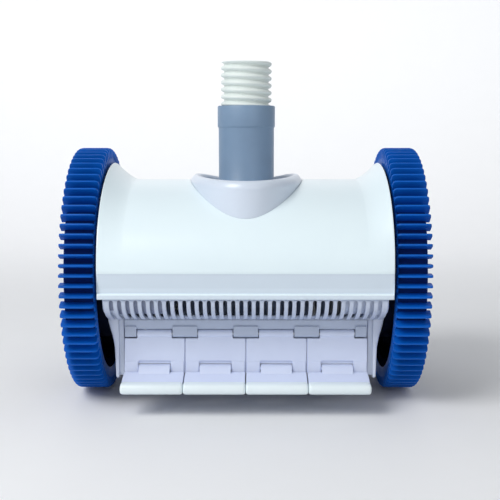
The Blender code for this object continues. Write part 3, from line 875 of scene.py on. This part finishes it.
def intake_throat():
    """A flared rectangular throat with rounded corners."""
    levels = [(48.0, 78.0, 31.0), (52.5, 74.5, 28.6), (57.0, 71.0, 26.3)]
    levels += [(61.5, 67.2, 23.8), (66.0, 63.2, 21.2), (86.8, 63.2, 21.2)]

    def ring(half_x, half_y, z, radius):
        corners = [(half_x, half_y), (-half_x, half_y), (-half_x, -half_y), (half_x, -half_y)]
        return [(x, y, z) for x, y in rounded(corners, radius, 6)]

    rings = [ring(x, y, z, 6.0) for z, x, y in levels]
    rings += [ring(x - 2.8, y - 2.8, z, 4.0) for z, x, y in reversed(levels)]
    return Shape().rings(rings).build("intake_throat_visual", bevel=0.5)


# Flaps


def upper_flap(name, shift, flip):
    """A flat plate hung from the rod: a tongue at the top, two ears with a notch between them below."""
    length = hypot(FOOT_Y - HINGE_Y, HINGE_Z - FOOT_Z)
    lean = atan2(FOOT_Y - HINGE_Y, HINGE_Z - FOOT_Z)
    down = Vector((0, -sin(lean), -cos(lean)))
    out = Vector((0, -cos(lean), sin(lean)))
    foot = length + 4.05
    notch = length - 7.0
    shape = Shape()

    def slab(loop, low, high):
        part = Shape().prism(loop, "Y", low, high)
        points = []
        for x, through, below in part.points:
            points.append(Vector((x, -HINGE_Y, HINGE_Z)) + down * below + out * through)
        shape.add(points, part.faces)

    radii = [0.6, 0.8, 0.8, 0.6, 0.6, 1.2]
    for half, low, high in ((FLAP_HALF, -1.5, 0.0), (FLAP_HALF - REBATE, -0.3, 1.35)):
        right = [(TONGUE_HALF, 0.7), (TONGUE_HALF, SHOULDER), (half, SHOULDER)]
        right += [(half, foot), (NOTCH_HALF, foot), (NOTCH_HALF, notch)]
        outline = right + [(-x, below) for x, below in reversed(right)]
        slab(rounded(outline, radii + radii[::-1], 3), low, high)
    reach = NOTCH_HALF + 1
    edge = length - WEB_CLEAR
    slab([(-reach, notch - 1), (reach, notch - 1), (reach, edge), (-reach, edge)], -1.4, -0.5)
    for side in (-1, 1):
        near = side * (NOTCH_HALF + 0.5)
        far = side * (FLAP_HALF - 1.2)
        ear = [(near, notch + 0.6), (far, notch + 0.6), (far, foot - 0.5), (near, foot - 0.5)]
        slab(rounded(ear, 0.6, 2), 0.8, EAR_FACE)
        low, high = sorted((near, side * (NOTCH_HALF + 6)))
        shape.rod(EAR_FACE - 0.1, "X", (-FOOT_Y, FOOT_Z), low, high)
    reach = TONGUE_HALF - 0.2
    knuckle = [(1.62, -reach), (3.4, -reach), (3.4, reach), (1.62, reach)]
    shape.lathe(knuckle, "X", (-HINGE_Y, HINGE_Z), 32)
    return shape.build(name, bevel=0.32, flip_y=flip, shift_x=shift)


def lower_flap(name, shift, flip):
    """A foot on a knuckle: a sloped tab in the notch, a foot plate under the ears and a thick bead."""
    shape = Shape()
    tab = [
        (81.0, 32.7), (92.0, 29.0), (92.6, 30.2), (90.6, 32.8), (86.0, 37.3), (84.2, 39.0), (82.0, 39.6),
        (79.6, 38.6),
    ]
    wide = [(85.6, 30.2), (105.0, 25.6), (105.0, 29.4), (98.0, 31.6), (86.4, 33.8)]
    bead = [
        (104.0, 21.6), (105.5, 20.7), (112.2, 20.7), (114.3, 22.3), (115.0, 24.4), (114.9, 26.6),
        (113.8, 28.9), (111.4, 30.2), (106.0, 30.4), (104.4, 29.6),
    ]
    shape.prism([(-y, z) for y, z in tab], "X", 0.5 - NOTCH_HALF, NOTCH_HALF - 0.5)
    shape.prism([(-y, z) for y, z in wide], "X", 0.4 - FLAP_HALF, FLAP_HALF - 0.4)
    bead = [(-y, z) for y, z in rounded(bead, 1.6, 3)]
    ends = [(FLAP_HALF - short, grow) for short, grow in BEAD_END]
    rings = []
    for x, grow in [(-x, grow) for x, grow in ends] + ends[::-1]:
        ring = []
        for y, z in bead:
            ring.append((x, BEAD_Y + (y - BEAD_Y) * grow, BEAD_Z + (z - BEAD_Z) * grow))
        rings.append(ring)
    shape.rings(rings, closed=False)
    shape.rod(3.7, "X", (-FOOT_Y, FOOT_Z), 0.6 - NOTCH_HALF, NOTCH_HALF - 0.6)
    shape.rod(PEG_R, "X", (-FOOT_Y, FOOT_Z), -NOTCH_HALF - 3.0, NOTCH_HALF + 3.0, 20)
    piece = shape.build(name, bevel=0.4, sharp_deg=40, flip_y=flip, shift_x=shift)
    # The bead gets a lighter, whiter copy of the flap colour: painted light for its rounded faces catching
    # the lamps.
    return two_tone(piece, "flap_lavender", "bead_white", lambda middle: abs(middle.y) > 104.2)


# Wheels


def tyre(name, side):
    """A ring with lugs across it, flush with them inside and 3 mm short of them outside."""
    shape = Shape()
    section = [
        (99.7, 130.9), (96.2, 130.9), (95.8, 130.4), (96.2, 129.7), (97.2, 129.3), (104.6, 129.2),
        (105.6, 129.5), (TREAD_FLOOR_R, 130.4), (TREAD_FLOOR_R, 154.2), (105.6, 155.4), (104.0, 156.0),
        (100.2, 156.0), (99.7, 155.4),
    ]
    shape.lathe(section, "X", WHEEL_AXIS, 160, side)
    corners = [(TYRE_IN_X, LUG_ROOT_R), (TYRE_OUT_X, LUG_ROOT_R)]
    corners += [(TYRE_OUT_X, LUG_TIP_R), (TYRE_IN_X, LUG_TIP_R)]
    loop = rounded(corners, [1.0, 1.0, 3.8, 3.8], 4)
    for i in range(LUGS):
        turn = 2 * pi * i / LUGS
        points = []
        for end in (-1, 1):
            for x, radius in loop:
                half = (LUG_ROOT_HALF - LUG_TAPER * (radius - LUG_ROOT_R) / (LUG_TIP_R - LUG_ROOT_R)) * end
                y = radius * sin(turn) + half * cos(turn)
                z = AXLE_Z + radius * cos(turn) - half * sin(turn)
                points.append((x * side, y, z))
        shape.between(points)

    # The tread floor between the lugs gets a dark navy copy of the tyre's blue: painted shade in the gaps.
    def on_floor(middle):
        return abs(from_axle(middle) - TREAD_FLOOR_R) < 0.4 and 131 < abs(middle.x) < 155

    return two_tone(shape.build(name, bevel=0.55, sharp_deg=50), "tread_blue", "tread_shade", on_floor)


def toothed(teeth, root_r, tip_r, root_half, tip_half, first_deg, centre):
    """The outline of a gear, with the middle of one tooth at first_deg."""
    points = []
    for i in range(teeth):
        out, side = spoke(radians(first_deg) + 2 * pi * i / teeth)
        middle = (root_r + tip_r) / 2
        bulge = (root_half + tip_half) / 2 + 0.12
        for radius, half in ((root_r, -root_half), (middle, -bulge), (tip_r, -tip_half), (tip_r, tip_half),
                             (middle, bulge), (root_r, root_half)):
            point = Vector(centre) + out * radius + side * half
            points.append((point.x, point.y))
    return points


def wheel_hub(name, side):
    """A dished wheel: rim, web, boss, ribs on both faces, and the ring gear on the inner face."""
    shape = Shape()
    rim = [
        (87.0, 133.4), (87.0, 131.6), (87.6, 131.0), (99.0, 131.0), (99.5, 131.6), (99.5, 156.4),
        (99.0, 157.0), (97.2, 157.0), (96.6, 156.4), (94.0, 155.8), (92.6, 151.0), (90.0, 149.4),
        (84.0, 149.0), (18.0, 149.0), (15.0, 149.6), (12.8, 151.0), (12.2, 152.6), (11.6, 153.0),
        (7.4, 153.0), (7.4, 137.0), (11.6, 137.0), (12.0, 137.4), (12.0, 144.8), (13.2, 146.0),
        (92.0, 146.0), (93.6, 144.6), (93.6, 135.6), (92.4, 134.0), (87.6, 134.0),
    ]
    shape.lathe(rim, "X", WHEEL_AXIS, 128, side)
    for i in range(HUB_RIBS):
        out, across = spoke(2 * pi * (i + 0.5) / HUB_RIBS)
        for near, far, half, x_in, x_out in ((13, 93, 1.6, 148.0, 153.4), (66, 94.5, 1.2, 139.0, 147.0)):
            start = Vector(WHEEL_AXIS) + out * near
            end = Vector(WHEEL_AXIS) + out * far
            wide = across * half
            loop = [tuple(start - wide), tuple(end - wide), tuple(end + wide), tuple(start + wide)]
            shape.prism(loop, "X", *sorted((side * x_in, side * x_out)))
    collar = [(46.0, 148.5), (46.0, 151.4), (46.6, 152.0), (48.4, 152.0), (49.0, 151.4), (49.0, 148.5)]
    shape.lathe(collar, "X", WHEEL_AXIS, 128, side)
    first = degrees(atan2(IDLER_Z - AXLE_Z, IDLER_Y)) + 180 / RING_TEETH
    teeth = toothed(RING_TEETH, RING_ROOT_R, RING_TIP_R, 1.5, 0.7, first, WHEEL_AXIS)
    outer = circle(RING_OUTER_R, WHEEL_AXIS, len(teeth), radians(first))
    low, high = side * 127.1, side * 147.0
    shape.rings([
        [(low, y, z) for y, z in outer],
        [(low, y, z) for y, z in teeth],
        [(high, y, z) for y, z in teeth],
        [(high, y, z) for y, z in outer],
    ])

    # The rim's flange inside the tyre gets a darker copy of the hub colour without reflection: painted shade
    # where it lies under the tyre.
    def on_flange(middle):
        return abs(middle.x) < 136 and from_axle(middle) > 86.5

    return two_tone(shape.build(name, bevel=0.25, sharp_deg=50), "hub_dark", "hub_shade", on_flange)


def turned(name, profile, side, centre, segments=64, sharp_deg=40):
    """A profile of (radius, distance out from the middle) turned about X on one side of the cleaner."""
    return Shape().lathe(profile, "X", centre, segments, side).build(name, sharp_deg=sharp_deg)


# Inside: bearings, turbine, gears and rods


def swivel_bearing_ring():
    profile = [
        (31.6, 184.4), (32.0, 184.0), (35.6, 184.0), (36.0, 184.4), (36.0, 195.6), (35.6, 196.0),
        (27.3, 196.0), (26.9, 195.6), (26.9, 193.0), (31.6, 193.0),
    ]
    return Shape().lathe(profile, "Z", (0, 0), 96).build("swivel_bearing_ring_visual", sharp_deg=40)


def turbine_chamber():
    """A drum with a neck on top for the tube and an inlet below for the throat."""
    profile = [
        (7.5, -84.0), (46.7, -84.0), (47.5, -83.2), (47.5, 83.2), (46.7, 84.0), (7.5, 84.0), (7.5, 81.5),
        (CHAMBER_R, 81.5), (CHAMBER_R, -81.5), (7.5, -81.5),
    ]
    chamber = Shape().lathe(profile, "X", SHAFT_AXIS, 96).build("turbine_chamber_visual")
    combine(chamber, Shape().rod(25.0, "Z", (0, 0), 173.5, 187.0, 64).build("neck"), "UNION")
    combine(chamber, Shape().rod(22.0, "Z", (0, 0), 165.0, 190.0, 64, edge=0).build("outlet"), "DIFFERENCE")
    cavity = Shape().rod(CHAMBER_R - 0.5, "X", SHAFT_AXIS, -80.0, 80.0, 96, edge=0)
    combine(chamber, cavity.build("cavity"), "DIFFERENCE")
    inlet = Shape().prism(rounded([(-60, -18), (60, -18), (60, 18), (-60, 18)], 3), "Z", 80, 100)
    combine(chamber, inlet.build("inlet"), "DIFFERENCE")
    chamber.data.set_sharp_from_angle(angle=radians(32))
    return chamber


def turbine_rotor():
    profile = list(ROTOR_HALF) + [(radius, -x) for radius, x in reversed(ROTOR_HALF)]
    return turned("turbine_rotor_visual", profile, 1, SHAFT_AXIS)


def turbine_vane(index):
    """A blade on a knuckle, with a lip along its tip."""
    out, side = spoke(2 * pi * index / VANES)
    centre = Vector(SHAFT_AXIS)
    shape = Shape()
    half = [(VANE_HINGE_R, -1.0), (38.6, -0.85), (39.4, -1.25), (VANE_TIP_R, -1.1)]
    edges = half + [(radius, -across) for radius, across in reversed(half)]
    blade = [tuple(centre + out * radius + side * across) for radius, across in edges]
    shape.prism(blade, "X", -VANE_HALF_X, VANE_HALF_X)
    hinge = tuple(centre + out * VANE_HINGE_R)
    shape.rod(2.1, "X", hinge, -75.2, 75.2, 24)
    shape.rod(1.25, "X", hinge, -78.6, 78.6, 20)
    return shape.build(f"turbine_vane_{index + 1}_visual", bevel=0.25)


def gear(name, teeth, first, centre, bore_r, side):
    """A spur gear with a raised ring round its bore."""
    rim = toothed(teeth, teeth - 2.5, teeth + 1.8, 1.6, 0.7, first, centre)
    start = radians(first) - 5 * pi / len(rim)
    low, high = side * GEAR_IN_X, side * GEAR_OUT_X

    def loop(radius, x):
        return [(x, y, z) for y, z in circle(radius, centre, len(rim), start)]

    recess = side * 0.8
    shape = Shape().rings([
        loop(bore_r, low),
        [(low, y, z) for y, z in rim],
        [(high, y, z) for y, z in rim],
        loop(teeth - 3.4, high),
        loop(teeth - 3.8, high - recess),
        loop(bore_r + 2.2, high - recess),
        loop(bore_r + 1.9, high),
        loop(bore_r, high),
    ])
    return shape.build(name, bevel=0.2, sharp_deg=40)


def gear_phases():
    """The angle of one tooth of the idler and of the pinion, so that all the teeth mesh at rest."""
    idler = degrees(atan2(IDLER_Z - AXLE_Z, IDLER_Y))
    facing = degrees(atan2(TURBINE_Z - IDLER_Z, -IDLER_Y))
    pitch = 360 / IDLER_TEETH
    offset = (idler - facing + pitch / 2) % pitch - pitch / 2
    space = facing + 180 - offset * IDLER_TEETH / PINION_TEETH
    return idler, space + 180 / PINION_TEETH


def flap_rod(name, side):
    return Shape().rod(ROD_R, "X", (side * HINGE_Y, HINGE_Z), -106.8, 106.8).build(name, sharp_deg=40)


# Assembly


def make_materials():
    """Every material by its slot's name, from its colour, its roughness and its own settings."""
    shell = dict(mottle=0.008, grain=0.02, grain_mm=1.6, spread=0.02, subsurface=0.05)
    body = dict(mottle=0.03, grain=0.16, coat=0.15, spread=0.06)
    flap = dict(mottle=0.02, coat=0.3)
    hub = dict(mottle=0.10, grain=0.22, spread=0.10)
    looks = {
        "shell_white": (srgb(234, 249, 255), 0.30, dict(shell, coat=0.4)),
        # painted shade: the shell's white darkened for the skirt band
        "skirt_white": (srgb(215, 228, 240), 0.34, dict(shell, coat=0.3)),
        "collar_white": (srgb(214, 224, 238), 0.30, dict(mottle=0.01, grain=0.03, coat=0.25, spread=0.02,
                                                         subsurface=0.05)),
        "tube_grey": (srgb(123, 148, 175), 0.46, dict(mottle=0.05, grain=0.16, grain_mm=0.5, coat=0.1,
                                                      spread=0.07, scratches=0.8)),
        "hose_white": (srgb(228, 236, 233), 0.45, dict(mottle=0.03, grain=0.12, spread=0.06, subsurface=0.1)),
        "body_grey": (srgb(198, 208, 228), 0.40, dict(body, subsurface=0.05)),
        "pan_grey": (srgb(186, 197, 218), 0.40, body),
        # painted light: a lighter copy of the body's grey for the side plates
        "plate_grey": (srgb(220, 229, 247), 0.40, body),
        # painted shade: a darker grey for the blind slot backs at the left end
        "slot_shade": (srgb(146, 154, 178), 0.55, dict(mottle=0.03, grain=0.10, spread=0.06)),
        "flap_lavender": (srgb(221, 230, 255), 0.36, dict(flap, grain=0.12, spread=0.06, subsurface=0.05)),
        # painted light: a lighter copy of the flap colour for the beads
        "bead_white": (srgb(236, 248, 252), 0.34, dict(flap, grain=0.10, spread=0.05)),
        "tread_blue": (srgb(0, 92, 188), 0.50, dict(mottle=0.10, grain=0.30, grain_mm=0.45, spread=0.10,
                                                    specular=0.2)),
        # painted shade: the tyre's blue darkened for the tread floor between the lugs
        "tread_shade": (srgb(0, 34, 98), 0.7, dict(mottle=0.12, grain=0.25, spread=0.10, specular=0.1)),
        "hub_dark": (srgb(28, 36, 60), 0.60, dict(hub, specular=0.06)),
        # painted shade: the hub colour darkened, without reflection, for the flange inside the tyre
        "hub_shade": (srgb(14, 20, 44), 0.80, dict(hub, specular=0.0)),
        "steel": ((0.60, 0.61, 0.62), 0.28, dict(mottle=0.05, grain=0.08, spread=0.08, metallic=1.0,
                                                 scratches=1.5)),
        "gear_black": (srgb(46, 46, 50), 0.42, dict(mottle=0.08, grain=0.16, spread=0.08)),
    }
    return {name: moulded(name, colour, gloss, **rest) for name, (colour, gloss, rest) in looks.items()}


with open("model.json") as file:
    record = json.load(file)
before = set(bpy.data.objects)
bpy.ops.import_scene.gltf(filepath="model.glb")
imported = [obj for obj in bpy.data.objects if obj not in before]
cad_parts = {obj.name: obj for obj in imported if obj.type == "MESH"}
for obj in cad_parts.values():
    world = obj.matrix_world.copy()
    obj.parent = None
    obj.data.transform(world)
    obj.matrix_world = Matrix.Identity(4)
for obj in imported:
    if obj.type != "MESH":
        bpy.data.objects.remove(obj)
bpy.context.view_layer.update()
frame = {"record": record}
record = frame["record"]
body_of = {node_name: body for body, names in record["behaviour"]["bodies"].items() for node_name in names}
slot_of = {part["node"]: part["material_slot"] for part in record["subparts"]}
materials = make_materials()


def stand_for(piece, node_name=None):
    """The piece takes its node's place: it rides on the node's body and wears its slot's material."""
    node_name = node_name or piece.name.removesuffix("_visual")
    slot = slot_of[node_name]
    if not piece.data.materials:
        piece.data.materials.append(materials[slot])
    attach(piece, body_of[node_name])
    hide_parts(node_name)


stand_for(upper_shell(), "upper_shell")
stand_for(hose_collar(), "hose_collar")
for make in (
    swivel_tube, swivel_bearing_ring, hose_end, base_pan, intake_throat, turbine_chamber, turbine_rotor,
):
    stand_for(make())
for index in range(VANES):
    stand_for(turbine_vane(index))

for label, side in (("front", -1), ("rear", 1)):
    at_rear = side > 0
    stand_for(grille(f"{label}_grille_visual", at_rear))
    backs = slot_backs(f"{label}_slot_backs", at_rear)
    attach(backs, "body")
    stand_for(flap_rod(f"{label}_flap_rod_visual", side))
    for number in range(1, FLAPS + 1):
        shift = (number - (FLAPS + 1) / 2) * FLAP_PITCH
        stand_for(upper_flap(f"{label}_upper_flap_{number}_visual", shift, at_rear))
        stand_for(lower_flap(f"{label}_lower_flap_{number}_visual", shift, at_rear))

idler_first, pinion_first = gear_phases()
for label, side in (("left", -1), ("right", 1)):
    stand_for(side_plate(f"{label}_side_plate_visual", side))
    stand_for(tyre(f"{label}_tyre_visual", side))
    stand_for(wheel_hub(f"{label}_wheel_hub_visual", side))
    stand_for(turned(f"{label}_hub_cap_visual", CAP_PROFILE, side, WHEEL_AXIS, 72, 50))
    for kind, profile in ON_AXLE.items():
        stand_for(turned(f"{label}_{kind}_visual", profile, side, WHEEL_AXIS))
    stand_for(turned(f"{label}_turbine_bearing_visual", BEARING_PROFILE, side, SHAFT_AXIS))
    stand_for(gear(f"{label}_idler_gear_visual", IDLER_TEETH, idler_first, IDLER_AXIS, 3.08, side))
    stand_for(gear(f"{label}_pinion_visual", PINION_TEETH, pinion_first, SHAFT_AXIS, 4.15, side))


# Camera, floor and lights


def area_light(name, at, toward, size, power, spread_deg):
    lamp = bpy.data.lights.new(name, "AREA")
    lamp.spread = radians(spread_deg)
    lamp.shape = "RECTANGLE"
    lamp.size, lamp.size_y = size
    lamp.energy = power
    obj = into_scene(name, lamp)
    obj.location = at
    obj.rotation_euler = (Vector(toward) - Vector(at)).to_track_quat("-Z", "Y").to_euler()


def set_floor():
    mesh = bpy.data.meshes.new("floor")
    profile = [(FLOOR_FRONT_Y, 0.0), (BEND_START_Y, 0.0)]
    for k in range(1, 25):
        turn = pi / 2 * k / 24
        profile.append((BEND_START_Y + BEND_R * sin(turn), BEND_R - BEND_R * cos(turn)))
    profile.append((BEND_START_Y + BEND_R, WALL_TOP_Z))
    points = [(x, y, z) for y, z in profile for x in (-FLOOR_HALF_X, FLOOR_HALF_X)]
    mesh.from_pydata(points, [], [(2 * k, 2 * k + 1, 2 * k + 3, 2 * k + 2) for k in range(len(profile) - 1)])
    mesh.shade_smooth()
    pale = moulded("floor_pale", srgb(246, 247, 249), 0.7, mottle=0.004, grain=0.02, grain_mm=3.0)
    mesh.materials.append(pale)
    into_scene("floor", mesh)


def set_lights():
    world = bpy.data.worlds.new("studio")
    world.use_nodes = True
    background = world.node_tree.nodes["Background"]
    background.inputs["Color"].default_value = WORLD_COLOUR
    background.inputs["Strength"].default_value = WORLD_STRENGTH
    bpy.context.scene.world = world
    for lamp in LAMPS:
        area_light(*lamp)


def set_camera():
    lens = bpy.data.cameras.new("camera")
    lens.lens = CAMERA_LENS
    lens.clip_start = 0.01
    camera = into_scene("camera", lens)
    camera.location = CAMERA_AT
    camera.rotation_euler = (radians(CAMERA_PITCH_DEG), 0, radians(CAMERA_YAW_DEG))
    bpy.context.scene.camera = camera


set_floor()
set_lights()
set_camera()
bpy.context.scene.view_settings.view_transform = "Standard"

bpy.context.view_layer.update()
